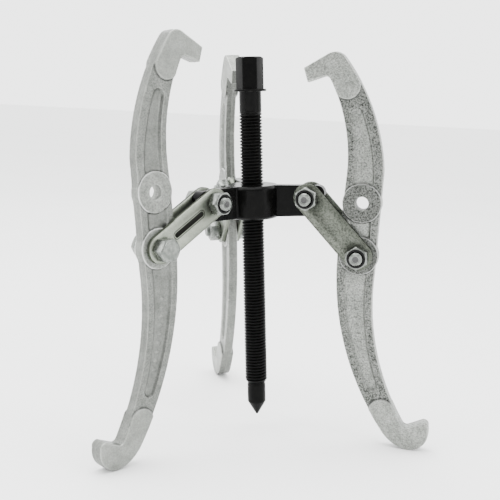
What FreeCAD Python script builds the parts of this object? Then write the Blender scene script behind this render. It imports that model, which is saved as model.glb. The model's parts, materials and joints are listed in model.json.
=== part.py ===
"""Three-jaw gear puller with reversible jaws, hung on pairs of flat links from a threaded yoke.

Millimetres, +Z up along the forcing screw. The origin is the tip of the screw's centre point, where
the puller pushes on a shaft. The jaws hang in three vertical planes, 120 degrees apart. Each jaw and
link is drawn flat, about its pivot hole, and then stood up in its own plane.
"""
import FreeCAD, Part
import os
import re
import Sketcher
from math import cos, radians, sin, sqrt

from FreeCAD import Placement, Rotation, Vector

DIMENSIONS = {
    # forcing screw and its centre point, heights measured from the tip
    "thread_diameter": 18.0, "thread_clearance": 0.05, "thread_start": 31.0, "thread_end": 252.0,
    "point_diameter": 15.0, "cone_height": 11.6, "cone_tip_radius": 0.6, "screw_bottom": 28.5,
    "point_gap": 0.1, "spigot_diameter": 8.0, "spigot_length": 15.0, "spigot_clearance": 0.05,
    "neck_diameter": 17.4, "flange_bottom": 266.4, "flange_diameter": 25.6, "flange_height": 1.9,
    "drive_flats": 19.0, "drive_height": 24.75,
    # yoke, heights measured from the level of its pivot bolts
    "pivot_level": 184.0, "hub_diameter": 43.6, "hub_above": 9.5, "hub_below": 17.0, "hub_chamfer": 2.2,
    "arm_thickness": 9.6, "arm_reach": 46.7, "arm_beyond": 12.8, "arm_corner_radius": 6.0,
    "arm_above": 9.5, "arm_below": 16.2, "arm_tip_below": 14.6,
    # pivots and links
    "bolt_diameter": 10.0, "pivot_clearance": 0.075, "link_centres": 60.0, "link_width": 22.4,
    "link_thickness": 3.6, "link_gap": 9.9,
    # bolt heads and nuts
    "fastener_flats": 16.0, "head_height": 10.4, "nut_height": 9.6, "bolt_end": 3.0, "nut_clearance": 0.05,
    # jaws
    "hook_thickness": 11.8, "web_thickness": 8.8, "boss_thickness": 9.6, "boss_diameter": 30.6,
    "channel_depth": 1.9, "channel_slope": 1.3, "spare_hole_out": 2.5, "spare_hole_up": 41.0,
}

# each jaw's plane about the screw, its link's slope below the yoke and its own lean in at the top, in
# degrees; the side its nuts are on and its two plates' sides, where +1 is the side local +Z faces; and
# how far its hexagons are turned from pointing along the link
JAWS = {
    "right": {"plane": -15.7, "slope": 48.9, "lean": 0.0, "turn": 80.0,
              "nut_side": {"upper": 1, "lower": 1},
              "plates": {"right_front_link": 1, "right_back_link": -1}},
    "left": {"plane": -135.7, "slope": 27.5, "lean": 2.1, "turn": 28.0,
             "nut_side": {"upper": -1, "lower": 1},
             "plates": {"left_front_link": -1, "left_back_link": 1}},
    "rear": {"plane": 104.3, "slope": 43.5, "lean": 5.0, "turn": 10.0,
             "nut_side": {"upper": -1, "lower": -1},
             "plates": {"rear_left_link": -1, "rear_right_link": 1}},
}

# long edges of a jaw: centre and radius of each arc, about the link's pivot hole (x out, y up)
UPPER_INNER = (Vector(-140.8, 78.6), 132.3)
UPPER_OUTER = (Vector(-138.7, 60.2), 158.0)
LOWER_INNER = (Vector(204.5, -21.3), 222.4)
LOWER_OUTER = (Vector(208.7, -41.5), 198.3)
# how wide the ribs beside the recessed channel are, on the inner and the outer edge
UPPER_RIBS = (5.2, 7.4)
LOWER_RIBS = (5.7, 5.7)

doc = FreeCAD.newDocument("gear_puller")
sheet = doc.addObject("Spreadsheet::Sheet", "sizes")
sub_parts = []


def fill_sheet():
    for row, (name, value) in enumerate(DIMENSIONS.items(), start=1):
        sheet.set(f"A{row}", name)
        sheet.set(f"B{row}", str(value))
        sheet.setAlias(f"B{row}", name)
    doc.recompute()


def size(name):
    return float(sheet.get(name))


def bind(obj, expressions):
    """Bind properties to expressions in which a cell is written as its bare alias."""
    for prop, expression in expressions.items():
        obj.setExpression(prop, re.sub(r"[a-z]+(_[a-z]+)+", lambda word: "sizes." + word[0], expression))


def keep(obj, label, placement):
    obj.Label = label
    obj.Placement = placement
    sub_parts.append(obj)


# ---- Part primitives ------------------------------------------------------------------------------

def cylinder(name, diameter, bottom, height):
    obj = doc.addObject("Part::Cylinder", name)
    bind(obj, {"Radius": f"({diameter}) / 2", "Height": height, "Placement.Base.z": bottom})
    return obj


def cone(name, bottom_radius, top_radius, bottom, height):
    obj = doc.addObject("Part::Cone", name)
    bind(obj, {"Radius1": bottom_radius, "Radius2": top_radius, "Height": height,
               "Placement.Base.z": bottom})
    return obj


def join(name, kind, base, tool):
    obj = doc.addObject(kind, name)
    obj.Base, obj.Tool = base, tool
    return obj


def fuse(name, *shapes):
    obj = doc.addObject("Part::MultiFuse", name)
    obj.Shapes = list(shapes)
    return obj


def hexagon(name, flats, bottom, height, chamfered_ends):
    """A hexagonal block whose corners are cut back by a 30 degree cone at the ends that are asked for."""
    block = doc.addObject("Part::Prism", name + "_prism")
    block.Polygon = 6
    bind(block, {"Circumradius": f"{flats} / sqrt(3)", "Height": height, "Placement.Base.z": bottom})
    near, far = f"{flats} * 0.475", f"{flats} * 0.475 + ({height}) * sqrt(3)"
    for end in chamfered_ends:
        radii = (far, near) if end == "top" else (near, far)
        cutter = cone(f"{name}_{end}_cone", *radii, bottom, height)
        block = join(f"{name}_{end}_cut", "Part::Common", block, cutter)
    return block


# ---- PartDesign helpers ---------------------------------------------------------------------------

def origin_feature(body, role):
    return next(feature for feature in body.Origin.OriginFeatures if feature.Role == role)


def new_sketch(body, name, geometry=(), plane="XY_Plane", offset=None):
    sketch = body.newObject("Sketcher::SketchObject", name)
    sketch.AttachmentSupport = [(origin_feature(body, plane), "")]
    sketch.MapMode = "FlatFace"
    if offset:
        bind(sketch, {"AttachmentOffset.Base.z": offset})
    for piece in geometry:
        sketch.addGeometry(piece)
    return sketch


def add_circle(sketch, diameter, across="", up=""):
    """A circle whose diameter, and whose centre's place from the origin, follow the sheet."""
    centre = Vector(size(across) if across else 0, size(up) if up else 0)
    circle = sketch.addGeometry(Part.Circle(centre, Vector(0, 0, 1), 5))
    rule = sketch.addConstraint(Sketcher.Constraint("Diameter", circle, 10))
    bind(sketch, {f"Constraints[{rule}]": diameter})
    if not across:
        sketch.addConstraint(Sketcher.Constraint("Coincident", circle, 3, -1, 1))
        return
    rule = sketch.addConstraint(Sketcher.Constraint("DistanceX", -1, 1, circle, 3, centre.x))
    bind(sketch, {f"Constraints[{rule}]": across})
    if up:
        rule = sketch.addConstraint(Sketcher.Constraint("DistanceY", -1, 1, circle, 3, centre.y))
        bind(sketch, {f"Constraints[{rule}]": up})
    else:
        sketch.addConstraint(Sketcher.Constraint("PointOnObject", circle, 3, -1))


def add_feature(body, kind, name, sketch, length, **settings):
    feature = body.newObject(f"PartDesign::{kind}", name)
    feature.Profile = sketch
    for prop, value in settings.items():
        setattr(feature, prop, value)
    bind(feature, {"Length": length})
    return feature


def mirror(body, name, *features):
    """Repeat features on the other side of the body's own mid-plane."""
    copy = body.newObject("PartDesign::Mirrored", name)
    copy.Originals = list(features)
    copy.MirrorPlane = (origin_feature(body, "XY_Plane"), [""])
    body.Tip = copy


# ---- forcing screw --------------------------------------------------------------------------------

def make_forcing_screw():
    """Hexagon head on a thin flange, plain neck, long thread and a blind bore for the centre point."""
    head = hexagon("head", "drive_flats", "flange_bottom + flange_height", "drive_height", ["top"])
    flange = cylinder("flange", "flange_diameter", "flange_bottom", "flange_height")
    neck = cylinder("neck", "neck_diameter", "thread_end", "flange_bottom - thread_end")
    thread = cylinder("thread", "thread_diameter", "thread_start", "thread_end - thread_start")
    lead = cone("thread_lead", "point_diameter / 2", "thread_diameter / 2", "screw_bottom",
                "thread_start - screw_bottom")
    bore = cylinder("point_bore", "spigot_diameter + 2 * spigot_clearance", "screw_bottom",
                    "spigot_length + 1")
    solid = fuse("screw_solid", head, flange, neck, thread, lead)
    keep(join("forcing_screw", "Part::Cut", solid, bore), "forcing_screw", Placement())


def make_centre_point():
    tip = cone("tip_cone", "cone_tip_radius", "point_diameter / 2", "0 * cone_height", "cone_height")
    shank = cylinder("point_shank", "point_diameter", "cone_height",
                     "screw_bottom - point_gap - cone_height")
    spigot = cylinder("point_spigot", "spigot_diameter", "screw_bottom - point_gap", "spigot_length")
    keep(fuse("centre_point", tip, shank, spigot), "centre_point", Placement())


# ---- yoke -----------------------------------------------------------------------------------------

def arm_outline():
    """Side view of an arm: level on top, tapering underneath towards an end with rounded corners."""
    top, corner = size("arm_above"), size("arm_corner_radius")
    root, below = size("arm_below"), size("arm_tip_below")
    inside = size("hub_diameter") / 4
    end = size("arm_reach") + size("arm_beyond")
    across = corner * (1 - sqrt(0.5))
    return chain(
        Vector(inside, top),
        Part.Arc(Vector(end - corner, top), Vector(end - across, top - across), Vector(end, top - corner)),
        Part.Arc(Vector(end, corner - below), Vector(end - across, across - below),
                 Vector(end - corner, -below)),
        Vector(inside, -root),
    )


def hub_rims(feature):
    """The names of the hub's two outer round edges."""
    radius = size("hub_diameter") / 2
    return [f"Edge{i}" for i, edge in enumerate(feature.Shape.Edges, start=1)
            if isinstance(edge.Curve, Part.Circle) and abs(edge.Curve.Radius - radius) < 0.01]


def make_yoke():
    body = doc.addObject("PartDesign::Body", "yoke")
    circle = new_sketch(body, "hub_circle", offset="0 - hub_below")
    add_circle(circle, "hub_diameter")
    hub = add_feature(body, "Pad", "hub", circle, "hub_above + hub_below")
    doc.recompute()
    rims = body.newObject("PartDesign::Chamfer", "hub_rims")
    rims.Base = (hub, hub_rims(hub))
    bind(rims, {"Size": "hub_chamfer"})

    outline = new_sketch(body, "arm_outline", arm_outline(), plane="XZ_Plane")
    arm = add_feature(body, "Pad", "arm", outline, "arm_thickness", SideType="Symmetric")
    circle = new_sketch(body, "pivot_circle", plane="XZ_Plane")
    add_circle(circle, "bolt_diameter + 2 * pivot_clearance", across="arm_reach")
    pivot = add_feature(body, "Pocket", "pivot_hole", circle, "2 * arm_thickness", SideType="Symmetric")
    arms = body.newObject("PartDesign::PolarPattern", "arms")
    arms.Originals = [arm, pivot]
    arms.Axis = (origin_feature(body, "Z_Axis"), [""])
    arms.Angle = 360
    arms.Occurrences = len(JAWS)
    body.Tip = arms

    circle = new_sketch(body, "bore_circle")
    add_circle(circle, "thread_diameter + 2 * thread_clearance")
    add_feature(body, "Pocket", "screw_bore", circle, "3 * hub_below", SideType="Symmetric")
    place = Placement(Vector(0, 0, size("pivot_level")), Rotation(Vector(0, 0, 1), JAWS["right"]["plane"]))
    keep(body, "yoke", place)


# ---- jaws -----------------------------------------------------------------------------------------

def on_arc(edge, height, inset=0.0):
    """The point of a long edge at a given height, moved in from the jaw's edge by the inset."""
    centre, radius = edge
    towards = 1 if centre.x < 0 else -1
    return Vector(centre.x + towards * sqrt((radius + inset) ** 2 - (height - centre.y) ** 2), height)


def edge_arc(edge, first, last, inset=0.0):
    return Part.Arc(on_arc(edge, first, inset), on_arc(edge, (first + last) / 2, inset),
                    on_arc(edge, last, inset))


def chain(*steps):
    """Join ready-made arcs and corner points into one closed outline, with lines between them."""
    pieces, points = [], []
    for step in steps:
        pieces.append(step if not isinstance(step, Vector) else None)
        points.append((step, step) if isinstance(step, Vector) else (step.StartPoint, step.EndPoint))
    outline = [piece for piece in pieces if piece]
    for (_, end), (start, _) in zip(points, points[1:] + points[:1]):
        if end.distanceToPoint(start) > 1e-3:
            outline.append(Part.LineSegment(end, start))
    return outline


def jaw_outline():
    """Clockwise from the tip of the upper, inward hook round to the lower, outward hook and back."""
    return chain(
        Vector(-42.0, 144.7),
        Part.Arc(Vector(-22.4, 155.1), Vector(-16.0, 155.9), on_arc(UPPER_OUTER, 152.2)),
        edge_arc(UPPER_OUTER, 152.2, 66),
        edge_arc(LOWER_OUTER, -15, -137),
        Part.Arc(on_arc(LOWER_OUTER, -137), Vector(36.9, -138.6), Vector(39.4, -138.5)),
        Part.Arc(Vector(50.5, -133.7), Vector(54.0, -134.4), Vector(55.6, -138.8)),
        Part.Arc(Vector(55.6, -138.8), Vector(47.9, -155.2), Vector(34.1, -156.1)),
        Part.Arc(Vector(34.1, -156.1), Vector(25.7, -151.2), on_arc(LOWER_INNER, -144.1)),
        edge_arc(LOWER_INNER, -144.1, 2),
        edge_arc(UPPER_INNER, 66, 135.5),
        Part.Arc(on_arc(UPPER_INNER, 135.5), Vector(-23.4, 137.4), Vector(-26.1, 137.5)),
        Vector(-39.0, 133.5),
    )


def waist_outline():
    """The stretch between the hooks, which is thinner; a round step ends it at each hook."""
    wide = 60
    return chain(
        Part.Arc(Vector(-18.5, 127.6), Vector(-5.6, 120.5), Vector(1.5, 133.4)),
        Vector(wide, 133.4),
        Vector(wide, -125.2),
        Part.Arc(Vector(29.3, -125.2), Vector(16.3, -116.6), Vector(7.7, -129.6)),
        Vector(-wide, -129.6),
        Vector(-wide, 127.6),
    )


def half_round(start, end):
    middle = (start + end) / 2
    across = (end - start) / 2
    return Part.Arc(start, middle + Vector(-across.y, across.x), end)


def channel_outline(slope=0.0):
    """The recess between the ribs, clockwise from its upper round end; its walls slope in to its floor."""
    upper_in, upper_out = (rib + slope for rib in UPPER_RIBS)
    lower_in, lower_out = (rib + slope for rib in LOWER_RIBS)
    return chain(
        half_round(on_arc(UPPER_INNER, 108.2, upper_in), on_arc(UPPER_OUTER, 110.8, -upper_out)),
        edge_arc(UPPER_OUTER, 110.8, 60, -upper_out),
        edge_arc(LOWER_OUTER, -12, -103.6, lower_out),
        half_round(on_arc(LOWER_OUTER, -103.6, lower_out), on_arc(LOWER_INNER, -107.4, -lower_in)),
        edge_arc(LOWER_INNER, -107.4, 0, -lower_in),
        edge_arc(UPPER_INNER, 62, 108.2, upper_in),
    )


def hole_pair(body, name, diameter):
    """Two circles, at the link's pivot and at the spare hole above it."""
    sketch = new_sketch(body, name)
    add_circle(sketch, diameter)
    add_circle(sketch, diameter, across="spare_hole_out", up="spare_hole_up")
    return sketch


def make_jaw(name, place):
    """A drop-forged jaw: two opposed hooks, a channelled web between them and two drilled bosses."""
    body = doc.addObject("PartDesign::Body", name)
    outline = new_sketch(body, name + "_outline", jaw_outline())
    add_feature(body, "Pad", name + "_blank", outline, "hook_thickness", SideType="Symmetric")
    outline = new_sketch(body, name + "_waist_outline", waist_outline(), offset="hook_thickness / 2")
    waist = add_feature(body, "Pocket", name + "_waist", outline, "(hook_thickness - web_thickness) / 2")
    rim = new_sketch(body, name + "_channel_rim", channel_outline(), offset="web_thickness / 2")
    floor = new_sketch(body, name + "_channel_floor", channel_outline(size("channel_slope")),
                       offset="web_thickness / 2 - channel_depth")
    channel = body.newObject("PartDesign::SubtractiveLoft", name + "_channel")
    channel.Profile = rim
    channel.Sections = [floor]
    mirror(body, name + "_other_face", waist, channel)
    bosses = hole_pair(body, name + "_boss_circles", "boss_diameter")
    add_feature(body, "Pad", name + "_bosses", bosses, "boss_thickness", SideType="Symmetric")
    holes = hole_pair(body, name + "_hole_circles", "bolt_diameter + 2 * pivot_clearance")
    add_feature(body, "Pocket", name + "_holes", holes, "2 * boss_thickness", SideType="Symmetric")
    keep(body, name, place)


# ---- links, bolts and nuts ------------------------------------------------------------------------

def make_link_plate(name, place):
    """A flat bar with round ends and a bolt hole at the middle of each."""
    centres, half = size("link_centres"), size("link_width") / 2
    body = doc.addObject("PartDesign::Body", name)
    outline = new_sketch(body, name + "_outline", chain(
        Part.Arc(Vector(0, -half), Vector(-half, 0), Vector(0, half)),
        Part.Arc(Vector(centres, half), Vector(centres + half, 0), Vector(centres, -half)),
    ))
    add_feature(body, "Pad", name + "_blank", outline, "link_thickness", SideType="Symmetric")
    holes = new_sketch(body, name + "_hole_circles")
    add_circle(holes, "bolt_diameter + 2 * pivot_clearance")
    add_circle(holes, "bolt_diameter + 2 * pivot_clearance", across="link_centres")
    add_feature(body, "Pocket", name + "_holes", holes, "2 * link_thickness", SideType="Symmetric")
    keep(body, name, place)


def make_bolt(name, place):
    """A hexagon bolt through both plates, its head on the -Z side and a chamfered end on the +Z side."""
    outside = "(link_gap / 2 + link_thickness)"
    chamfer = "bolt_diameter * 0.1"
    length = f"2 * {outside} + nut_height + bolt_end - {chamfer}"
    head = hexagon(name + "_head", "fastener_flats", f"0 - {outside} - head_height", "head_height",
                   ["bottom"])
    shank = cylinder(name + "_shank", "bolt_diameter", f"0 - {outside}", length)
    end = cone(name + "_end", "bolt_diameter / 2", f"bolt_diameter / 2 - {chamfer}",
               f"{length} - {outside}", chamfer)
    keep(fuse(name, head, shank, end), name, place)


def make_nut(name, place):
    outside = "(link_gap / 2 + link_thickness)"
    block = hexagon(name + "_block", "fastener_flats", outside, "nut_height", ["bottom", "top"])
    bore = cylinder(name + "_bore", "bolt_diameter + 2 * nut_clearance", outside, "nut_height")
    keep(join(name, "Part::Cut", block, bore), name, place)


def make_link(name, jaw, upper, lower):
    """The two plates of one link, with the bolts and nuts that pin them to the yoke and the jaw."""
    along = Rotation(Vector(0, 0, 1), -jaw["slope"])
    beside = size("link_gap") / 2 + size("link_thickness") / 2
    for plate, side in jaw["plates"].items():
        make_link_plate(plate, upper * Placement(Vector(0, 0, side * beside), along))
    for end, pivot in (("upper", upper), ("lower", lower)):
        flip = Rotation(Vector(1, 0, 0), 0 if jaw["nut_side"][end] > 0 else 180)
        turn = Rotation(Vector(0, 0, 1), jaw["turn"] * jaw["nut_side"][end])
        place = pivot * Placement(Vector(), along * flip * turn)
        make_bolt(f"{name}_{end}_bolt", place)
        make_nut(f"{name}_{end}_nut", place)


def pivot_places(jaw):
    """Placements of a jaw's plane at its two pivots: local x points out, y up and z square to it."""
    out = Vector(cos(radians(jaw["plane"])), sin(radians(jaw["plane"])), 0)
    stand = Rotation(Vector(0, 0, 1), jaw["plane"]) * Rotation(Vector(1, 0, 0), 90)
    upper = out * size("arm_reach") + Vector(0, 0, size("pivot_level"))
    slope = radians(jaw["slope"])
    lower = upper + (out * cos(slope) - Vector(0, 0, sin(slope))) * size("link_centres")
    return Placement(upper, stand), Placement(lower, stand)


# ---- the whole puller -----------------------------------------------------------------------------

def check_document():
    doc.recompute()
    for obj in doc.Objects:
        if {"Invalid", "Error"} & set(obj.State):
            raise RuntimeError(f"{obj.Name} failed: {obj.State}")
    for obj in sub_parts:
        if obj.Shape.isNull() or not obj.Shape.isValid() or len(obj.Shape.Solids) != 1:
            raise RuntimeError(f"{obj.Label} is not one valid solid")


def write_parts():
    os.makedirs("parts", exist_ok=True)
    for obj in sub_parts:
        obj.Shape.exportStep(f"parts/{obj.Label}.step")


fill_sheet()
make_forcing_screw()
make_centre_point()
make_yoke()
for jaw_name, jaw in JAWS.items():
    upper_pivot, lower_pivot = pivot_places(jaw)
    make_link(jaw_name, jaw, upper_pivot, lower_pivot)
    lean = Placement(Vector(), Rotation(Vector(0, 0, 1), jaw["lean"]))
    make_jaw(jaw_name + "_jaw", lower_pivot * lean)
check_document()
write_parts()
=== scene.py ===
import json
import math

import bmesh
import bpy
import numpy as np
from mathutils import Matrix, Vector, noise


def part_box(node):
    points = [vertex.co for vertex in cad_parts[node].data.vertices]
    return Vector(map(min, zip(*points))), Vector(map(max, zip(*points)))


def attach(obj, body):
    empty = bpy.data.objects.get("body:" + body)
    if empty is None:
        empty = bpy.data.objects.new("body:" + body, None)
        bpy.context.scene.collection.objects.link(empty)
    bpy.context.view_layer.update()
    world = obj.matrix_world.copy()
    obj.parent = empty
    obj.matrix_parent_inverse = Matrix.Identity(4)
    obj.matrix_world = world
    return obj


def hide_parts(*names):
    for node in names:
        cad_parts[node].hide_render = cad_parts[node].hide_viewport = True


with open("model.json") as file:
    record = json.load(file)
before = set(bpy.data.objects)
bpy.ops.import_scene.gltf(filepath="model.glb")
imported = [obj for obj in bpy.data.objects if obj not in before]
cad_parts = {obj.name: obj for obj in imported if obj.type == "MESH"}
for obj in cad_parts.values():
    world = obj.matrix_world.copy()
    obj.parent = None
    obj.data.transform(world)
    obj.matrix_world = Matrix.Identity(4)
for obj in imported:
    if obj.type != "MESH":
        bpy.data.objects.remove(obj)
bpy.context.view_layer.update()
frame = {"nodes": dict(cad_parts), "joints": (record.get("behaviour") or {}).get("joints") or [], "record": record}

MM = 0.001
SIDES = ("right", "left", "rear")
JOINTS = {joint["name"]: joint for joint in frame["joints"]}
MOUNTS = {mount["name"]: mount for mount in frame["record"]["mounts"]}
# the jaw's second hole, in the jaw's own frame
SPARE_HOLE = (2.5 * MM, 41.0 * MM)


# ---- places, read from the frame ------------------------------------------------------------------

def placement(origin, x_axis, z_axis):
    """The matrix of a local frame whose z axis is z_axis and whose x axis is the part of x_axis across it."""
    z = Vector(z_axis).normalized()
    y = z.cross(Vector(x_axis)).normalized()
    matrix = Matrix((y.cross(z), y, z)).transposed().to_4x4()
    matrix.translation = origin
    return matrix


def link_frame(side):
    """Origin at the upper pivot, x towards the lower one, z along the bolts."""
    hinge = JOINTS[f"{side}_link_swing"]
    upper, lower = Vector(hinge["pos_m"]), Vector(JOINTS[f"{side}_jaw_swing"]["pos_m"])
    return placement(upper, lower - upper, hinge["axis"])


def jaw_frame(side):
    """Origin at the lower hole, y up the jaw, z along the bolts; the spare hole lies at SPARE_HOLE."""
    hinge = JOINTS[f"{side}_jaw_swing"]
    origin = Vector(hinge["pos_m"])
    axis = -Vector(hinge["axis"])
    towards = placement(origin, Vector(MOUNTS[f"{side}_spare_hole"]["pos_m"]) - origin, axis)
    return towards @ Matrix.Rotation(-math.atan2(SPARE_HOLE[1], SPARE_HOLE[0]), 4, "Z")


def yoke_frame():
    """Origin on the screw's axis at the level of the pivots, x along the right arm."""
    pivot = Vector(JOINTS["right_link_swing"]["pos_m"])
    return placement((0, 0, pivot.z), (pivot.x, pivot.y, 0), (0, 0, 1))


def node_points(node, matrix):
    """A CAD node's vertices in a local frame, as an array."""
    mesh = frame["nodes"][node].data
    points = np.empty(len(mesh.vertices) * 3)
    mesh.vertices.foreach_get("co", points)
    inverse = np.array(matrix.inverted())
    return points.reshape(-1, 3) @ inverse[:3, :3].T + inverse[:3, 3]


# ---- mesh helpers ---------------------------------------------------------------------------------

def finish_mesh(name, mesh, sharp=40):
    """Name a mesh and shade it smooth, but for edges sharper than the angle given."""
    mesh.name = name
    mesh.shade_smooth()
    mesh.set_sharp_from_angle(angle=math.radians(sharp))
    return mesh


def skin(name, rings, closed=False, sharp=40):
    """Quads between rings of equally many points; the ends are capped, or joined if closed."""
    count = len(rings[0])
    points = [point for ring in rings for point in ring]
    pairs = list(zip(range(len(rings)), range(1, len(rings))))
    if closed:
        pairs.append((len(rings) - 1, 0))
    faces = [(low * count + i, low * count + (i + 1) % count, high * count + (i + 1) % count,
              high * count + i) for low, high in pairs for i in range(count)]
    if not closed:
        faces.append(tuple(reversed(range(count))))
        faces.append(tuple(range(len(points) - count, len(points))))
    mesh = bpy.data.meshes.new(name)
    mesh.from_pydata(points, [], faces)
    tidy = bmesh.new()
    tidy.from_mesh(mesh)
    bmesh.ops.remove_doubles(tidy, verts=tidy.verts, dist=0.002 * MM)
    bmesh.ops.recalc_face_normals(tidy, faces=tidy.faces)
    tidy.to_mesh(mesh)
    tidy.free()
    return finish_mesh(name, mesh, sharp)


def soften(profile, radius, steps=3):
    """Replace each inner corner of a profile by a short curve."""
    points = [Vector(point) for point in profile]
    softened = [points[0]]
    for before, corner, after in zip(points, points[1:], points[2:]):
        cut = min(radius, (before - corner).length * 0.45, (after - corner).length * 0.45)
        start = corner + (before - corner).normalized() * cut
        end = corner + (after - corner).normalized() * cut
        for step in range(steps + 1):
            t = step / steps
            softened.append(start * (1 - t) ** 2 + corner * 2 * t * (1 - t) + end * t ** 2)
    return softened + [points[-1]]


def circle(radius, height, angles):
    """Points round the z axis."""
    return [(radius * math.cos(a), radius * math.sin(a), height) for a in angles]


def turned(profile, angles):
    """Rings of a turned part from (radius, height) pairs."""
    return [circle(radius, height, angles) for radius, height in profile]


def sector_angles(sectors=6, offsets=(0, 1.5, 3.5, 7, 12, 18, 24)):
    """Angles all round, closest together at the corners of a hexagon."""
    half = 180 / sectors
    near = [*offsets, half]
    one = [-offset for offset in reversed(near[1:-1])] + near
    return [math.radians(corner * 2 * half + offset) for corner in range(sectors) for offset in one]


ANGLES = sector_angles()
# a hexagon's end chamfer starts at this share of its width across the flats
RIM = 0.475


def hexagon_radius(angle, flats, corner=0.985):
    """Distance from the axis to a hexagon's side; its corners, at 0, 60, 120..., are slightly cut."""
    across = math.radians(math.degrees(angle) % 60 - 30)
    return min(flats / 2 / math.cos(across), flats / math.sqrt(3) * corner)


def hexagon_rings(flats, bottom, top, chamfer_bottom, chamfer_top, edge=0.25 * MM):
    """Rings up the side of a hexagon whose ends are chamfered by a 30 degree cone, all edges eased."""
    slope = math.tan(math.radians(30))
    rim = flats * RIM

    def wall(limit, direction, chamfered, cut):
        ring = []
        for angle in ANGLES:
            radius = hexagon_radius(angle, flats)
            drop = (radius - rim) * slope if chamfered else 0
            inset = edge * 0.6 if cut else 0
            height = limit - direction * (drop + (0 if cut else edge))
            ring.append(((radius - inset) * math.cos(angle), (radius - inset) * math.sin(angle), height))
        return ring

    return [wall(bottom, -1, chamfer_bottom, True), wall(bottom, -1, chamfer_bottom, False),
            wall(top, 1, chamfer_top, False), wall(top, 1, chamfer_top, True)]


def piece(name, mesh, matrix, body, node, material):
    """A finished object that rides on a body and stands for a CAD node."""
    obj = bpy.data.objects.new(name, mesh)
    bpy.context.scene.collection.objects.link(obj)
    obj.matrix_world = matrix
    mesh.materials.clear()
    mesh.materials.append(material)
    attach(obj, body)
    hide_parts(node)
    return obj


# ---- materials ------------------------------------------------------------------------------------

def grey(value):
    return (value, value, value, 1)


class Nodes:
    """A short way to write a material's node tree."""

    def __init__(self, name):
        self.material = bpy.data.materials.new(name)
        self.material.use_nodes = True
        self.tree = self.material.node_tree
        self.shader = self.tree.nodes["Principled BSDF"]
        self.place = self.add("ShaderNodeTexCoord").outputs["Object"]

    def add(self, kind, inputs=(), **settings):
        node = self.tree.nodes.new(kind)
        for prop, value in settings.items():
            setattr(node, prop, value)
        for socket, value in dict(inputs).items():
            self.set(node.inputs[socket], value)
        return node

    def set(self, socket, value):
        if isinstance(value, bpy.types.NodeSocket):
            self.tree.links.new(value, socket)
        else:
            socket.default_value = value

    def noise(self, size, detail=4, roughness=0.55, stretch=None, offset=0.0):
        """Noise whose features are about size metres across."""
        mapping = self.add("ShaderNodeMapping", {"Vector": self.place, "Location": (offset,) * 3})
        if stretch:
            mapping.inputs["Scale"].default_value = stretch
        node = self.add("ShaderNodeTexNoise", {"Vector": mapping.outputs[0], "Scale": 1 / size,
                                               "Detail": detail, "Roughness": roughness})
        return node.outputs["Fac"]

    def ramp(self, value, *stops):
        node = self.add("ShaderNodeValToRGB", {"Fac": value})
        ramp = node.color_ramp
        while len(ramp.elements) < len(stops):
            ramp.elements.new(0.5)
        for element, (position, colour) in zip(ramp.elements, stops):
            element.position = position
            element.color = (*colour, 1) if isinstance(colour, tuple) else grey(colour)
        return node.outputs["Color"]

    def math(self, operation, first, second=0.0):
        node = self.add("ShaderNodeMath", operation=operation)
        self.set(node.inputs[0], first)
        self.set(node.inputs[1], second)
        return node.outputs[0]

    def mix(self, share, first, second, blend="MIX"):
        node = self.add("ShaderNodeMix", data_type="RGBA", blend_type=blend)
        self.set(node.inputs["Factor"], share)
        self.set(node.inputs["A"], first)
        self.set(node.inputs["B"], second)
        return node.outputs["Result"]

    def bump(self, *layers):
        """Stack (height, strength in metres) layers into one normal."""
        normal = None
        for height, distance in layers:
            node = self.add("ShaderNodeBump", {"Height": height, "Distance": distance, "Strength": 1.0})
            if normal:
                self.tree.links.new(normal, node.inputs["Normal"])
            normal = node.outputs["Normal"]
        self.set(self.shader.inputs["Normal"], normal)

    def axes(self):
        return self.add("ShaderNodeSeparateXYZ", {"Vector": self.place}).outputs[:3]

    def distance(self, first, second):
        squares = [self.math("MULTIPLY", side, side) for side in (first, second)]
        return self.math("SQRT", self.math("ADD", *squares))

    def step(self, value, zero, one):
        """0 where value is at zero or beyond, 1 where it is at one or beyond, with a ramp between."""
        node = self.add("ShaderNodeMapRange", {"Value": value, "From Min": zero, "From Max": one})
        return node.outputs["Result"]

    def frame_mark(self, x, y, half_length, half_width, line=1.0 * MM):
        """1 on a plain rounded bar round (x, y) on the -Z face, with a bare line just inside its edge."""
        across, along, depth = self.axes()
        short = half_length - half_width
        beyond = self.math("MAXIMUM", self.math("SUBTRACT", self.math(
            "ABSOLUTE", self.math("SUBTRACT", across, x)), short), 0.0)
        edge = self.distance(beyond, self.math("SUBTRACT", along, y))
        outer = self.step(edge, half_width, half_width - 0.1 * MM)
        bare = self.step(self.math("ABSOLUTE", self.math("SUBTRACT", edge, half_width - line)),
                         0.35 * MM, 0.25 * MM)
        ring = self.math("MULTIPLY", outer, self.math("SUBTRACT", 1.0, bare))
        return self.math("MULTIPLY", ring, self.step(depth, -1.5 * MM, -1.7 * MM))

    def finish(self, **sockets):
        for name, value in sockets.items():
            self.set(self.shader.inputs[name.replace("_", " ").title().replace("Ior", "IOR")], value)
        return self.material


# the round step at the root of each hook: centre and radius, and which way from the centre it bulges; a painted
# shade line runs along each step
HOOK_STEPS = ((-8.5 * MM, 130.5 * MM, 10.4 * MM, -1), (18.5 * MM, -127.4 * MM, 11.0 * MM, 1))
# the painted lines round each boss, a light painted highlight ring on its rim and a dark painted shade ring just
# outside it: radius, half width, shade, strength, and how much graininess takes from it
BOSS_HIGHLIGHT_AND_SHADE_LINES = ((15.1 * MM, 0.35 * MM, 0.75, 0.7, 0.4), (16.0 * MM, 0.4 * MM, 0.03, 0.5, 0.0))
# the bar on a link plate: its centre, half length and half width
PLATE_BAR = (30 * MM, 1 * MM, 17 * MM, 3.4 * MM)


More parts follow.
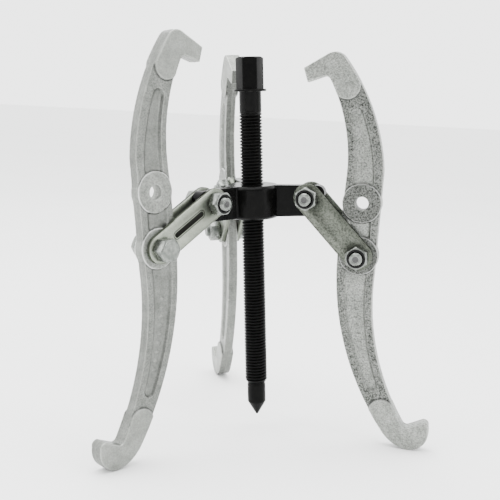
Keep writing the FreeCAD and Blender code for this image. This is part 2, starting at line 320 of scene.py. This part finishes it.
def forged_zinc(name, seed, grain, tones):
    """Zinc plating over a drop forging, each part of the jaw with its own tone and graininess; the tones carry
    painted light and shade, and painted highlight and shade lie along edges, creases, boss rims and hook steps.
    """
    nodes = Nodes(name)
    x, y, z = nodes.axes()
    height = nodes.math("ABSOLUTE", z)
    spare = nodes.distance(nodes.math("SUBTRACT", x, SPARE_HOLE[0]),
                           nodes.math("SUBTRACT", y, SPARE_HOLE[1]))
    far = nodes.math("MINIMUM", nodes.distance(x, y), spare)
    boss = nodes.step(far, 15.6 * MM, 15.0 * MM)
    channel = nodes.math("MULTIPLY", nodes.step(height, 3.9 * MM, 3.1 * MM),
                         nodes.step(far, 8 * MM, 15 * MM))
    hook = nodes.math("MULTIPLY", nodes.step(height, 4.7 * MM, 5.3 * MM),
                      nodes.step(far, 15 * MM, 17 * MM))
    mottle = nodes.noise(9 * MM, detail=5, offset=seed)
    fine = nodes.noise(1.3 * MM, detail=4, roughness=0.75, offset=seed)
    coarse = nodes.noise(2.6 * MM, detail=3, offset=seed + 5)
    base = nodes.ramp(mottle, (0.3, (0.40, 0.42, 0.385)), (0.5, (0.50, 0.52, 0.48)),
                      (0.7, (0.58, 0.60, 0.56)))
    # the tones of ribs, channel, bosses and hooks carry painted light and shade as well as the zinc's own tone
    rib, *others = tones
    tone = rib
    for mask, value in zip((channel, boss, hook), others):
        tone = nodes.math("ADD", tone, nodes.math("MULTIPLY", mask, value - rib))
    colour = nodes.mix(1.0, base, tone, "MULTIPLY")
    calm = nodes.math("ADD", nodes.math("MULTIPLY", channel, 0.35), nodes.math("MULTIPLY", hook, 0.5))
    share = nodes.math("MULTIPLY", nodes.math("SUBTRACT", 1.0, calm), grain)
    speckle = nodes.ramp(fine, (0.39, 0.10), (0.49, 0.70), (0.60, 1.3))
    colour = nodes.mix(share, colour, speckle, "MULTIPLY")
    raised = nodes.step(height, 3.6 * MM, 4.0 * MM)
    # painted shade: a dark line along the round step at each hook's root
    for middle_x, middle_y, radius, facing in HOOK_STEPS:
        up = nodes.math("SUBTRACT", y, middle_y)
        off = nodes.math("SUBTRACT", nodes.distance(nodes.math("SUBTRACT", x, middle_x), up), radius)
        line = nodes.step(nodes.math("ABSOLUTE", off), 0.75 * MM, 0.35 * MM)
        half = nodes.step(nodes.math("MULTIPLY", up, facing), -2 * MM, 1 * MM)
        line = nodes.math("MULTIPLY", nodes.math("MULTIPLY", line, half), raised)
        colour = nodes.mix(nodes.math("MULTIPLY", line, 0.6), colour, grey(0.03))
    # painted highlight on each boss's rim and painted shade just outside it
    for middle, half, shade, strength, loss in BOSS_HIGHLIGHT_AND_SHADE_LINES:
        off = nodes.math("ABSOLUTE", nodes.math("SUBTRACT", far, middle))
        line = nodes.math("MULTIPLY", nodes.step(off, half, half * 0.5), raised)
        visible = nodes.math("MULTIPLY", line, strength - loss * grain)
        colour = nodes.mix(visible, colour, grey(shade))
    pointed = nodes.add("ShaderNodeNewGeometry").outputs["Pointiness"]
    # painted shade in concave creases: under the hooks, round the bosses and along every inner step
    crease_shade = nodes.ramp(pointed, (0.44, 1.0), (0.488, 0.0))
    colour = nodes.mix(nodes.math("MULTIPLY", crease_shade, 0.75), colour, grey(0.02))
    # lighter on convex edges: rubbed zinc, together with a painted highlight along the edges
    lighter_edges = nodes.ramp(pointed, (0.51, 0.0), (0.57, 1.0))
    colour = nodes.mix(nodes.math("MULTIPLY", lighter_edges, 0.55), colour, (0.50, 0.51, 0.48, 1))
    rough = nodes.math("ADD", nodes.ramp(mottle, (0.3, 0.44), (0.7, 0.34)),
                       nodes.math("MULTIPLY", boss, 0.10))
    rugged = nodes.math("ADD", 0.45 * grain, nodes.math("MULTIPLY", boss, 0.5))
    nodes.bump((mottle, 0.12 * MM), (coarse, 0.14 * MM * grain),
               (nodes.math("MULTIPLY", fine, rugged), 0.4 * MM))
    return nodes.finish(base_color=colour, metallic=0.85, roughness=rough)


def zinc_plate(name, tone, grain, barred=False):
    """Zinc plating over rolled flat bar, faintly brushed along its length; one plate bears a plain bar."""
    nodes = Nodes(name)
    cloud = nodes.noise(14 * MM, detail=3)
    fine = nodes.noise(1.4 * MM, detail=4, roughness=0.8)
    brushed = nodes.noise(0.5 * MM, detail=2, stretch=(0.06, 1, 1))
    colour = nodes.ramp(cloud, (0.3, (0.105, 0.115, 0.095)), (0.7, (0.145, 0.155, 0.13)))
    colour = nodes.mix(1.0, colour, grey(tone), "MULTIPLY")
    speckle = nodes.ramp(fine, (0.38, 0.35), (0.5, 0.85), (0.62, 1.15))
    colour = nodes.mix(grain, colour, speckle, "MULTIPLY")
    if barred:
        colour = nodes.mix(nodes.frame_mark(*PLATE_BAR), colour, (0.004, 0.004, 0.003, 1))
    rough = nodes.ramp(cloud, (0.3, 0.46), (0.7, 0.38))
    nodes.bump((brushed, 0.03 * MM), (fine, 0.16 * MM * grain))
    return nodes.finish(base_color=colour, metallic=0.95, roughness=rough)


def zinc_fastener(name, face, radius, dark):
    """Bright zinc, with painted shade on the end face at height face, inside the radius given: painted shade and
    dark reflection on a nut's face, painted shade in a bolt end's dimple.
    """
    nodes = Nodes(name)
    cloud = nodes.noise(3 * MM, detail=3)
    colour = nodes.ramp(cloud, (0.3, (0.11, 0.12, 0.11)), (0.7, (0.21, 0.22, 0.205)))
    rough = nodes.ramp(cloud, (0.3, 0.34), (0.7, 0.22))
    x, y, z = nodes.axes()
    inside = nodes.step(nodes.distance(x, y), radius + 0.15 * MM, radius)
    # painted shade and dark reflection on the end face inside the radius given
    painted_end_shade = nodes.math("MULTIPLY", inside, nodes.step(z, face - 0.8 * MM, face - 0.6 * MM))
    colour = nodes.mix(painted_end_shade, colour, grey(dark))
    nodes.bump((cloud, 0.05 * MM), (nodes.noise(0.4 * MM), 0.008 * MM))
    return nodes.finish(base_color=colour, metallic=0.95, roughness=rough)


def black_oxide(name, rough_low, rough_high, grain):
    """Oiled black oxide: nearly black, with slightly worn grey edges."""
    nodes = Nodes(name)
    cloud = nodes.noise(6 * MM, detail=4)
    fine = nodes.noise(0.6 * MM, detail=3, roughness=0.6)
    pointed = nodes.add("ShaderNodeNewGeometry").outputs["Pointiness"]
    lighter_edges = nodes.ramp(pointed, (0.56, 0.0), (0.70, 1.0))
    colour = nodes.ramp(cloud, (0.3, (0.0014, 0.0014, 0.0014)), (0.7, (0.003, 0.003, 0.0028)))
    colour = nodes.mix(nodes.math("MULTIPLY", lighter_edges, 0.25), colour, (0.06, 0.06, 0.058, 1))
    rough = nodes.ramp(cloud, (0.3, rough_low), (0.7, rough_high))
    nodes.bump((cloud, 0.05 * MM), (fine, grain))
    return nodes.finish(base_color=colour, metallic=0.0, roughness=rough, specular_ior_level=0.05)


# ---- jaws and yoke: remeshed from the CAD solids --------------------------------------------------

def remeshed(node, matrix, voxel, rounds):
    """A CAD node's shape in a local frame, as an even mesh with its edges smoothed round."""
    mesh = frame["nodes"][node].data.copy()
    mesh.transform(matrix.inverted())
    draft = bpy.data.objects.new("draft", mesh)
    bpy.context.scene.collection.objects.link(draft)
    remesh = draft.modifiers.new("even", "REMESH")
    remesh.mode = "VOXEL"
    remesh.voxel_size = voxel
    smooth = draft.modifiers.new("round", "SMOOTH")
    smooth.iterations = rounds
    evaluated = draft.evaluated_get(bpy.context.evaluated_depsgraph_get())
    made = bpy.data.meshes.new_from_object(evaluated)
    bpy.data.objects.remove(draft)
    return made


def displace(mesh, move):
    """Move every vertex by what move returns for arrays of places and normals."""
    count = len(mesh.vertices)
    places, normals = np.empty(count * 3), np.empty(count * 3)
    mesh.vertices.foreach_get("co", places)
    mesh.vertices.foreach_get("normal", normals)
    places, normals = places.reshape(-1, 3), normals.reshape(-1, 3)
    mesh.vertices.foreach_set("co", (places + move(places, normals)).ravel())
    mesh.update()


def waves(places, size, seed):
    """Smooth noise at each place, its waves about size metres long."""
    return np.array([noise.noise(Vector(place) / size + Vector((seed,) * 3)) for place in places])


def marks(places, centres, half_length, half_width):
    """How far each place is inside a row of lozenges, from 0 outside to 1 well inside."""
    inside = np.zeros(len(places))
    for x, y in centres:
        across, along = np.abs(places[:, 0] - x), np.abs(places[:, 1] - y)
        reach = 1 - across / half_length - along / half_width
        inside = np.maximum(inside, np.clip(reach * 2.5, 0, 1))
    return inside


def channel_marks():
    """Centres of the plain raised lozenges down the lower channel, whose middle line is an arc."""
    arc_x, arc_y, radius = 206.6 * MM, -31.4 * MM, 210.35 * MM
    heights = [(-38 - 6.6 * step) * MM for step in range(9)]
    return [(arc_x - math.sqrt(radius ** 2 - (y - arc_y) ** 2), y) for y in heights]


# the jaws' bosses, how far round them the waviness stays away, and the size of a lozenge's two halves
BOSS_RADIUS = 15.3 * MM
CALM_RADIUS = 16.5 * MM
LOZENGE = (2.9 * MM, 2.0 * MM)
DRAFT = math.tan(math.radians(1.5))
FLASH_HEIGHT = 0.12 * MM
LOZENGE_HEIGHT = 0.38 * MM


def forge(mesh, seed, waviness):
    """Give a jaw its forging draft, trimmed flash line, slight waviness and raised marks."""

    def move(places, normals):
        flat = np.clip((np.abs(normals[:, 2]) - 0.3) / 0.4, 0, 1)
        side = 1 - flat
        far = np.minimum(np.hypot(places[:, 0], places[:, 1]),
                         np.hypot(places[:, 0] - SPARE_HOLE[0], places[:, 1] - SPARE_HOLE[1]))
        off_boss = np.clip((far - CALM_RADIUS) / (3 * MM), 0, 1)
        outside = np.clip((far - 7 * MM) / (2 * MM), 0, 1)
        draft = -np.abs(places[:, 2]) * DRAFT * side * outside
        flash = FLASH_HEIGHT * np.exp(-(places[:, 2] / (0.6 * MM)) ** 2) * side * outside
        wavy = waviness * waves(places, 16 * MM, seed) * off_boss
        wavy += waviness * 0.5 * waves(places, 5 * MM, seed + 9) * off_boss
        web = (np.clip((far - BOSS_RADIUS) / (0.6 * MM), 0, 1)
               * np.clip((5 * MM - np.abs(places[:, 2])) / MM, 0, 0.5))
        raised = LOZENGE_HEIGHT * marks(places, channel_marks(), *LOZENGE) * flat
        moved = draft + flash + wavy + raised - 0.06 * MM * off_boss - 0.5 * MM * web * flat
        return normals * moved[:, None]

    displace(mesh, move)


# each jaw's graininess, waviness in mm, and the tones of its ribs, channel, bosses and hooks, which hold the
# zinc's own tone together with painted light and shade, each jaw lit and shaded its own way
JAW_LOOKS = {
    "right": (1.0, 0.04, (0.30, 0.46, 0.24, 0.52)),
    "left": (0.45, 0.03, (0.31, 0.28, 0.44, 0.42)),
    "rear": (0.5, 0.04, (0.38, 0.36, 0.38, 0.44)),
}


def make_jaws():
    """Three jaws from one remeshed solid, each with its own waviness and zinc."""
    voxel = 0.6 * MM
    base = remeshed("right_jaw", jaw_frame("right"), voxel, 2)
    for number, side in enumerate(SIDES, start=1):
        grain, waviness, tones = JAW_LOOKS[side]
        seed = number * 3.7
        body, name = f"{side}_jaw", f"{side}_jaw_forging"
        mesh = base.copy()
        forge(mesh, seed, waviness * MM)
        finish_mesh(name, mesh, sharp=60)
        zinc = forged_zinc(f"{side}_forged_zinc", seed, grain, tones)
        piece(name, mesh, jaw_frame(side), body, body, zinc)


def make_yoke(material):
    """The yoke's solid with rounded edges and a faintly wavy skin, left true at its threaded bore."""
    mesh = remeshed("yoke", yoke_frame(), 0.55 * MM, 4)

    def move(places, normals):
        bore = np.clip((np.hypot(places[:, 0], places[:, 1]) - 10 * MM) / (2 * MM), 0, 1)
        return normals * (0.05 * MM * bore * waves(places, 7 * MM, 2.0) - 0.04 * MM * bore)[:, None]

    displace(mesh, move)
    finish_mesh("yoke_casting", mesh, sharp=60)
    piece("yoke_casting", mesh, yoke_frame(), "yoke", "yoke", material)


# ---- links, bolts and nuts ------------------------------------------------------------------------

SEGMENTS = 64
FLATS = 16 * MM
LINK_HOLE_RADIUS = 5.2 * MM
BOLT_RADIUS = 5 * MM


def plate_mesh(name, centres, end_radius, hole_radius, half_thickness, edge=0.55 * MM):
    """A bar with round ends and two holes, its edges rounded."""
    arc = [(edge * (1 - math.sin(t)), half_thickness - edge * (1 - math.cos(t)))
           for t in (math.pi / 2 * k / 4 for k in range(5))]
    profile = [(edge * 2.2, half_thickness), *reversed(arc)]
    profile += [(inset, -height) for inset, height in reversed(profile)]
    build = bmesh.new()

    def loop(place):
        return [build.verts.new(place(inset, height, k)) for inset, height in profile
                for k in range(SEGMENTS)]

    def outer(inset, height, k):
        angle = 2 * math.pi * (k + 0.5) / SEGMENTS
        shift = centres if math.cos(angle) > 0 else 0
        radius = end_radius - inset
        return (shift + radius * math.cos(angle), radius * math.sin(angle), height)

    def hole(middle):
        def place(inset, height, k):
            angle = 2 * math.pi * k / SEGMENTS
            radius = hole_radius + inset * 0.5
            return (middle + radius * math.cos(angle), radius * math.sin(angle), height)
        return place

    loops = [loop(outer), loop(hole(0)), loop(hole(centres))]
    last = (len(profile) - 1) * SEGMENTS
    for start in (0, last):
        edges = []
        for verts in loops:
            ring = verts[start:start + SEGMENTS]
            edges += [build.edges.new((ring[k], ring[(k + 1) % SEGMENTS])) for k in range(SEGMENTS)]
        bmesh.ops.triangle_fill(build, edges=edges, use_beauty=True)
    for verts in loops:
        for row in range(len(profile) - 1):
            for k in range(SEGMENTS):
                near, far = row * SEGMENTS + k, row * SEGMENTS + (k + 1) % SEGMENTS
                build.faces.new((verts[near], verts[far], verts[far + SEGMENTS], verts[near + SEGMENTS]))
    bmesh.ops.recalc_face_normals(build, faces=build.faces)
    mesh = bpy.data.meshes.new(name)
    build.to_mesh(mesh)
    build.free()
    return finish_mesh(name, mesh, sharp=50)


def hexagon_turn(points):
    """The angle of a hexagonal node's corner about its axis, where its mesh reaches furthest."""
    reach = np.hypot(points[:, 0], points[:, 1])
    corner = points[reach.argmax()]
    return math.atan2(corner[1], corner[0])


def bolt_mesh(name, head_bottom, head_top, end, radius=BOLT_RADIUS):
    """Head below, shank up to a rounded end with a shallow dimple and a few turns of thread."""
    rings = turned([(0.3 * MM, head_bottom + 0.35 * MM), (4.2 * MM, head_bottom + 0.3 * MM),
                    (6.4 * MM, head_bottom), (FLATS * RIM - 0.2 * MM, head_bottom)], ANGLES)
    rings += hexagon_rings(FLATS, head_bottom, head_top, True, False)
    rings += turned([(7.0 * MM, head_top), (radius + 0.3 * MM, head_top)], ANGLES)
    threads, pitch, groove = end - 3.2 * MM, 0.85, 0.42 * MM
    rings += turned([(radius, head_top + 0.3 * MM), (radius, threads)], ANGLES)
    for turn in range(3):
        low = threads + turn * pitch * MM
        rings += turned([(radius, low + 0.1 * MM), (radius - groove, low + 0.4 * MM),
                         (radius, low + 0.7 * MM)], ANGLES)
    tip = soften([(radius, end - 0.75 * MM), (radius - 0.85 * MM, end), (radius - 1.6 * MM, end),
                  (radius - 2.0 * MM, end - 0.35 * MM), (0.3 * MM, end - 0.45 * MM)], 0.2 * MM)
    rings += turned(tip, ANGLES)
    return skin(name, rings, sharp=55)


def nut_mesh(name, bottom, top):
    """A hexagon nut with chamfered faces and a bore that is countersunk at both ends."""
    rings = hexagon_rings(FLATS, bottom, top, True, True)
    rim, mouth, bore = FLATS * RIM - 0.1 * MM, BOLT_RADIUS + 0.75 * MM, BOLT_RADIUS + 0.06 * MM
    down = soften([(rim, top), (mouth, top), (bore, top - 0.7 * MM), (bore, bottom + 0.7 * MM),
                   (mouth, bottom), (rim, bottom)], 0.15 * MM)
    return skin(name, rings + turned(down, ANGLES), closed=True, sharp=55)


def side_of(node, matrix):
    """1 if a node lies towards +Z of a local frame, otherwise -1."""
    return 1 if node_points(node, matrix)[:, 2].mean() > 0 else -1


def make_link(side, plates, fastener, nut_zinc):
    """Replace a link's plates, bolts and nuts by detailed ones in the same places."""
    matrix = link_frame(side)
    centres = (Vector(JOINTS[f"{side}_jaw_swing"]["pos_m"]) - matrix.translation).length
    body = f"{side}_link"
    for node in frame["record"]["behaviour"]["bodies"][body]:
        points = node_points(node, matrix)
        low, high = points.min(0), points.max(0)
        if node.endswith("_link"):
            middle = (low[2] + high[2]) / 2
            mesh = plate_mesh(node + "_plate", centres, (high[1] - low[1]) / 2, LINK_HOLE_RADIUS,
                              (high[2] - low[2]) / 2)
            place = matrix @ Matrix.Translation((0, 0, middle))
            piece(node + "_plate", mesh, place, body, node, plates.get(node, plates[None]))
    for end, shift in (("upper", 0), ("lower", centres)):
        bolt, nut = f"{side}_{end}_bolt", f"{side}_{end}_nut"
        here = matrix @ Matrix.Translation((shift, 0, 0))
        facing = side_of(nut, here)
        here = here @ Matrix.Rotation(0 if facing > 0 else math.pi, 4, "X")
        nut_points, bolt_points = node_points(nut, here), node_points(bolt, here)
        nut_place = here @ Matrix.Rotation(hexagon_turn(nut_points), 4, "Z")
        bolt_place = here @ Matrix.Rotation(hexagon_turn(bolt_points), 4, "Z")
        bottom, top = nut_points[:, 2].min(), nut_points[:, 2].max()
        mesh = nut_mesh(nut + "_hexagon", bottom, top)
        piece(nut + "_hexagon", mesh, nut_place, body, nut, nut_zinc)
        mesh = bolt_mesh(bolt + "_turned", bolt_points[:, 2].min(), -bottom, bolt_points[:, 2].max())
        piece(bolt + "_turned", mesh, bolt_place, body, bolt, fastener)


# ---- forcing screw and its point ------------------------------------------------------------------

PITCH = 2.5 * MM
THREAD_RADIUS = 9.0 * MM
THREAD_DEPTH = 1.4 * MM
THREAD_BOTTOM, THREAD_TOP = 31 * MM, 252 * MM
SCREW_BOTTOM = 28.5 * MM
NECK_RADIUS = 8.7 * MM
FLANGE_BOTTOM, FLANGE_TOP = 266.4 * MM, 268.3 * MM
FLANGE_RADIUS, SHOULDER_RADIUS = 12.8 * MM, 10.9 * MM
DRIVE_FLATS = 19 * MM
POINT_RADIUS, CONE_HEIGHT = 7.5 * MM, 11.6 * MM
BORE_RADIUS, BORE_DEPTH, SPIGOT_RADIUS = 4.05 * MM, 16 * MM, 4.0 * MM
LEAD_EDGE = SCREW_BOTTOM + 0.3 * MM
WELD = 0.004 * MM
# one pitch of the thread: share of the pitch and share of the depth
THREAD_SHAPE = ((0.0, 0.0), (0.27, 0.0), (0.34, 0.16), (0.55, 0.86), (0.60, 1.0), (0.66, 1.0), (0.93, 0.16))


def thread_rings():
    """Rings that climb one pitch as they go round, so the flanks follow a right-hand helix."""
    rings = []
    turns = int((THREAD_TOP - THREAD_BOTTOM) / PITCH) + 3
    for turn in range(-2, turns):
        for share, depth in THREAD_SHAPE:
            ring = []
            for angle in ANGLES:
                height = THREAD_BOTTOM + (turn + share + (angle % (2 * math.pi)) / (2 * math.pi)) * PITCH
                ring.append(thread_point(height, depth, angle))
            rings.append(ring)
    return rings


def thread_point(height, depth, angle):
    """A point of the thread, its crests cut by the lead chamfer below and fading into the neck above."""
    radius = THREAD_RADIUS - depth * THREAD_DEPTH
    lead = POINT_RADIUS + (height - SCREW_BOTTOM) * 0.6
    fade = np.clip((THREAD_TOP - height) / (2 * PITCH), 0, 1)
    radius = NECK_RADIUS + (radius - NECK_RADIUS) * fade
    height = min(max(height, LEAD_EDGE), THREAD_TOP)
    if height <= LEAD_EDGE:
        radius = POINT_RADIUS
    radius = min(radius, max(lead, POINT_RADIUS))
    return (radius * math.cos(angle), radius * math.sin(angle), height)


def helical_mesh(name):
    """The threaded length as a surface: the seam joins each row to the one a pitch above it."""
    rows = thread_rings()
    count, per_pitch = len(ANGLES), len(THREAD_SHAPE)
    points = [point for row in rows for point in row]
    faces = []
    for row in range(len(rows) - 1):
        for k in range(count - 1):
            near = row * count + k
            faces.append((near, near + 1, near + count + 1, near + count))
        beyond = row + per_pitch
        if beyond + 1 < len(rows):
            faces.append((row * count + count - 1, beyond * count, (beyond + 1) * count,
                          (row + 1) * count + count - 1))
    mesh = bpy.data.meshes.new(name)
    mesh.from_pydata(points, [], faces)
    return mesh


def make_screw(material):
    """The screw as one surface: bored lower end, thread, neck, flange and hexagon head."""
    start = ANGLES.index(0.0)
    ordered = [angle % (2 * math.pi) for angle in ANGLES[start:] + ANGLES[:start]]
    ANGLES[:] = ordered
    build = bmesh.new()
    build.from_mesh(helical_mesh("threads"))
    bmesh.ops.remove_doubles(build, verts=build.verts, dist=WELD)
    bmesh.ops.dissolve_degenerate(build, edges=build.edges, dist=WELD)
    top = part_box("forcing_screw")[1].z
    lower = turned([(POINT_RADIUS, LEAD_EDGE), (POINT_RADIUS - 0.3 * MM, SCREW_BOTTOM),
                    (BORE_RADIUS, SCREW_BOTTOM), (BORE_RADIUS, SCREW_BOTTOM + BORE_DEPTH)], ordered)
    neck = soften([(NECK_RADIUS, THREAD_TOP), (NECK_RADIUS, FLANGE_BOTTOM), (FLANGE_RADIUS, FLANGE_BOTTOM),
                   (FLANGE_RADIUS, FLANGE_TOP), (SHOULDER_RADIUS, FLANGE_TOP)], 0.5 * MM)
    head = hexagon_rings(DRIVE_FLATS, FLANGE_TOP - 0.3 * MM, top, False, True)[1:]
    crown = turned(soften([(DRIVE_FLATS * RIM - 0.1 * MM, top), (7.2 * MM, top),
                           (5.5 * MM, top - 0.3 * MM), (0.4 * MM, top - 0.35 * MM)], 0.5 * MM), ordered)
    for rings in (lower, [*turned(neck, ordered), *head, *crown]):
        add_open_skin(build, rings)
    bmesh.ops.remove_doubles(build, verts=build.verts, dist=WELD)
    bmesh.ops.holes_fill(build, edges=[edge for edge in build.edges if edge.is_boundary], sides=0)
    bmesh.ops.recalc_face_normals(build, faces=build.faces)
    mesh = bpy.data.meshes.new("screw_threaded")
    build.to_mesh(mesh)
    build.free()
    finish_mesh("screw_threaded", mesh, sharp=35)
    piece("screw_threaded", mesh, Matrix.Identity(4), "screw", "forcing_screw", material)


def add_open_skin(build, rings):
    """Add quads between rings of equally many points, open at both ends."""
    rows = [[build.verts.new(point) for point in ring] for ring in rings]
    for low, high in zip(rows, rows[1:]):
        for k in range(len(low)):
            after = (k + 1) % len(low)
            build.faces.new((low[k], low[after], high[after], high[k]))


def make_centre_point(material):
    """The cone and its shank, with a narrow groove under the screw, and the spigot inside the screw."""
    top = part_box("centre_point")[1].z
    groove, shoulder = 7.05 * MM, SCREW_BOTTOM - 0.1 * MM
    profile = soften([(0.25 * MM, 0), (0.9 * MM, 0.35 * MM), (7.45 * MM, CONE_HEIGHT),
                      (POINT_RADIUS, 12.4 * MM), (POINT_RADIUS, SCREW_BOTTOM - 1.9 * MM),
                      (groove, SCREW_BOTTOM - 1.4 * MM), (groove, shoulder), (SPIGOT_RADIUS, shoulder),
                      (SPIGOT_RADIUS, top - 0.6 * MM), (3.4 * MM, top)], 0.35 * MM)
    mesh = skin("point_turned", turned(profile, ANGLES), sharp=50)
    piece("point_turned", mesh, Matrix.Identity(4), "point", "centre_point", material)


# ---- studio ---------------------------------------------------------------------------------------

def floor_plane():
    """Centre and normal of the plane that the three feet stand on."""
    feet = []
    for side in SIDES:
        points = node_points(f"{side}_jaw", Matrix.Identity(4))
        feet.append(Vector(points[points[:, 2].argmin()]))
    normal = (feet[1] - feet[0]).cross(feet[2] - feet[0]).normalized()
    normal = normal if normal.z > 0 else -normal
    centre = sum(feet, Vector()) / 3
    return centre - normal * 0.3 * MM, normal


def make_floor():
    """A wide, plain, pale floor under the three feet."""
    centre, normal = floor_plane()
    nodes = Nodes("studio_floor")
    cloud = nodes.noise(0.4, detail=2)
    colour = nodes.ramp(cloud, (0.3, 0.92), (0.7, 0.94))
    material = nodes.finish(base_color=colour, roughness=0.75)
    across = 30.0
    mesh = bpy.data.meshes.new("studio_floor")
    corners = [(-across, -across, 0), (across, -across, 0), (across, across, 0), (-across, across, 0)]
    mesh.from_pydata(corners, [], [(0, 1, 2, 3)])
    mesh.materials.append(material)
    floor = bpy.data.objects.new("studio_floor", mesh)
    floor.matrix_world = Matrix.Translation(centre) @ normal.to_track_quat("Z", "Y").to_matrix().to_4x4()
    bpy.context.scene.collection.objects.link(floor)


def softbox(name, place, target, size, power):
    """A rectangular area light that the camera doesn't see, aimed at target."""
    light = bpy.data.lights.new(name, "AREA")
    light.shape = "RECTANGLE"
    light.size, light.size_y = size
    light.energy = power
    obj = bpy.data.objects.new(name, light)
    obj.location = place
    obj.rotation_euler = (Vector(target) - Vector(place)).to_track_quat("-Z", "Y").to_euler()
    obj.visible_camera = False
    bpy.context.scene.collection.objects.link(obj)


# the room's brightness at the horizon and overhead, and the share of it behind the camera
ROOM = (3.6, 4.6, 0.33)


def light_studio():
    """Soft boxes above and beside, in a pale room that is brightest overhead and dim behind the camera."""
    middle = (0, 0, 0.14)
    softbox("top_softbox", (-0.2, 0.1, 1.7), middle, (1.5, 1.5), 36)
    softbox("left_softbox", (-1.3, -0.5, 0.75), middle, (0.9, 1.0), 12)
    softbox("right_softbox", (1.25, -0.75, 0.6), middle, (0.35, 1.1), 12)
    world = bpy.data.worlds.new("studio")
    bpy.context.scene.world = world
    world.use_nodes = True
    tree = world.node_tree
    direction = tree.nodes.new("ShaderNodeSeparateXYZ")
    tree.links.new(tree.nodes.new("ShaderNodeTexCoord").outputs["Generated"], direction.inputs[0])

    def ramp(axis, low, high, least, most):
        node = tree.nodes.new("ShaderNodeMapRange")
        node.interpolation_type = "SMOOTHSTEP"
        tree.links.new(direction.outputs[axis], node.inputs["Value"])
        for socket, value in zip(("From Min", "From Max", "To Min", "To Max"), (low, high, least, most)):
            node.inputs[socket].default_value = value
        return node.outputs["Result"]

    product = tree.nodes.new("ShaderNodeMath")
    product.operation = "MULTIPLY"
    tree.links.new(ramp("Z", 0.12, 0.8, ROOM[0], ROOM[1]), product.inputs[0])
    tree.links.new(ramp("Y", -0.5, 0.3, ROOM[2], 1.0), product.inputs[1])
    background = tree.nodes["Background"]
    background.inputs["Color"].default_value = (0.99, 1.0, 0.995, 1)
    tree.links.new(product.outputs[0], background.inputs["Strength"])


# the photograph's viewpoint: place, then yaw, pitch and roll in degrees, then lens in mm and shift
CAMERA_PLACE = (0, -689.43 * MM, 270.93 * MM)
CAMERA_TURN = (-0.09, -10.76, -1.26)
CAMERA_LENS, CAMERA_SHIFT = 62.31, -0.0043


def make_camera():
    """A camera at the photograph's place, looking slightly down, with a slight roll."""
    data = bpy.data.cameras.new("camera")
    data.sensor_width = 36
    data.lens = CAMERA_LENS
    data.shift_x = CAMERA_SHIFT
    data.clip_start = 0.05
    camera = bpy.data.objects.new("camera", data)
    yaw, pitch, roll = (math.radians(angle) for angle in CAMERA_TURN)
    turn = Matrix.Rotation(-yaw, 4, "Z") @ Matrix.Rotation(math.pi / 2 + pitch, 4, "X")
    camera.matrix_world = Matrix.Translation(CAMERA_PLACE) @ turn @ Matrix.Rotation(roll, 4, "Z")
    bpy.context.scene.collection.objects.link(camera)
    bpy.context.scene.camera = camera


# ---- the whole puller -----------------------------------------------------------------------------

make_camera()
light_studio()
make_floor()
# the zinc of each plate; those that aren't named share the one under None; the tones per side carry painted light
# and shade as well as the zinc's own tone, the right plates darkest
plate_zincs = {None: zinc_plate("zinc_plate", 1.5, 0.4),
               "left_front_link": zinc_plate("zinc_plate_barred", 1.7, 0.3, True)}
plate_zincs["right_front_link"] = plate_zincs["right_back_link"] = zinc_plate("zinc_plate_grainy_and_shaded", 0.9, 1.0)
nut_face, bolt_end = (node_points(f"right_upper_{kind}", link_frame("right"))[:, 2].max()
                      for kind in ("nut", "bolt"))
# painted shade in the dimple of each bolt's end, and painted shade and dark reflection on each nut's end face
bolt_zinc = zinc_fastener("zinc_bolt", bolt_end, 2.4 * MM, 0.06)
nut_zinc = zinc_fastener("zinc_nut", nut_face, 7.25 * MM, 0.01)
make_screw(black_oxide("screw_oxide", 0.38, 0.28, 0.02 * MM))
make_centre_point(black_oxide("point_oxide", 0.4, 0.3, 0.03 * MM))
make_yoke(black_oxide("yoke_oxide", 0.26, 0.18, 0.03 * MM))
for jaw_side in SIDES:
    make_link(jaw_side, plate_zincs, bolt_zinc, nut_zinc)
make_jaws()
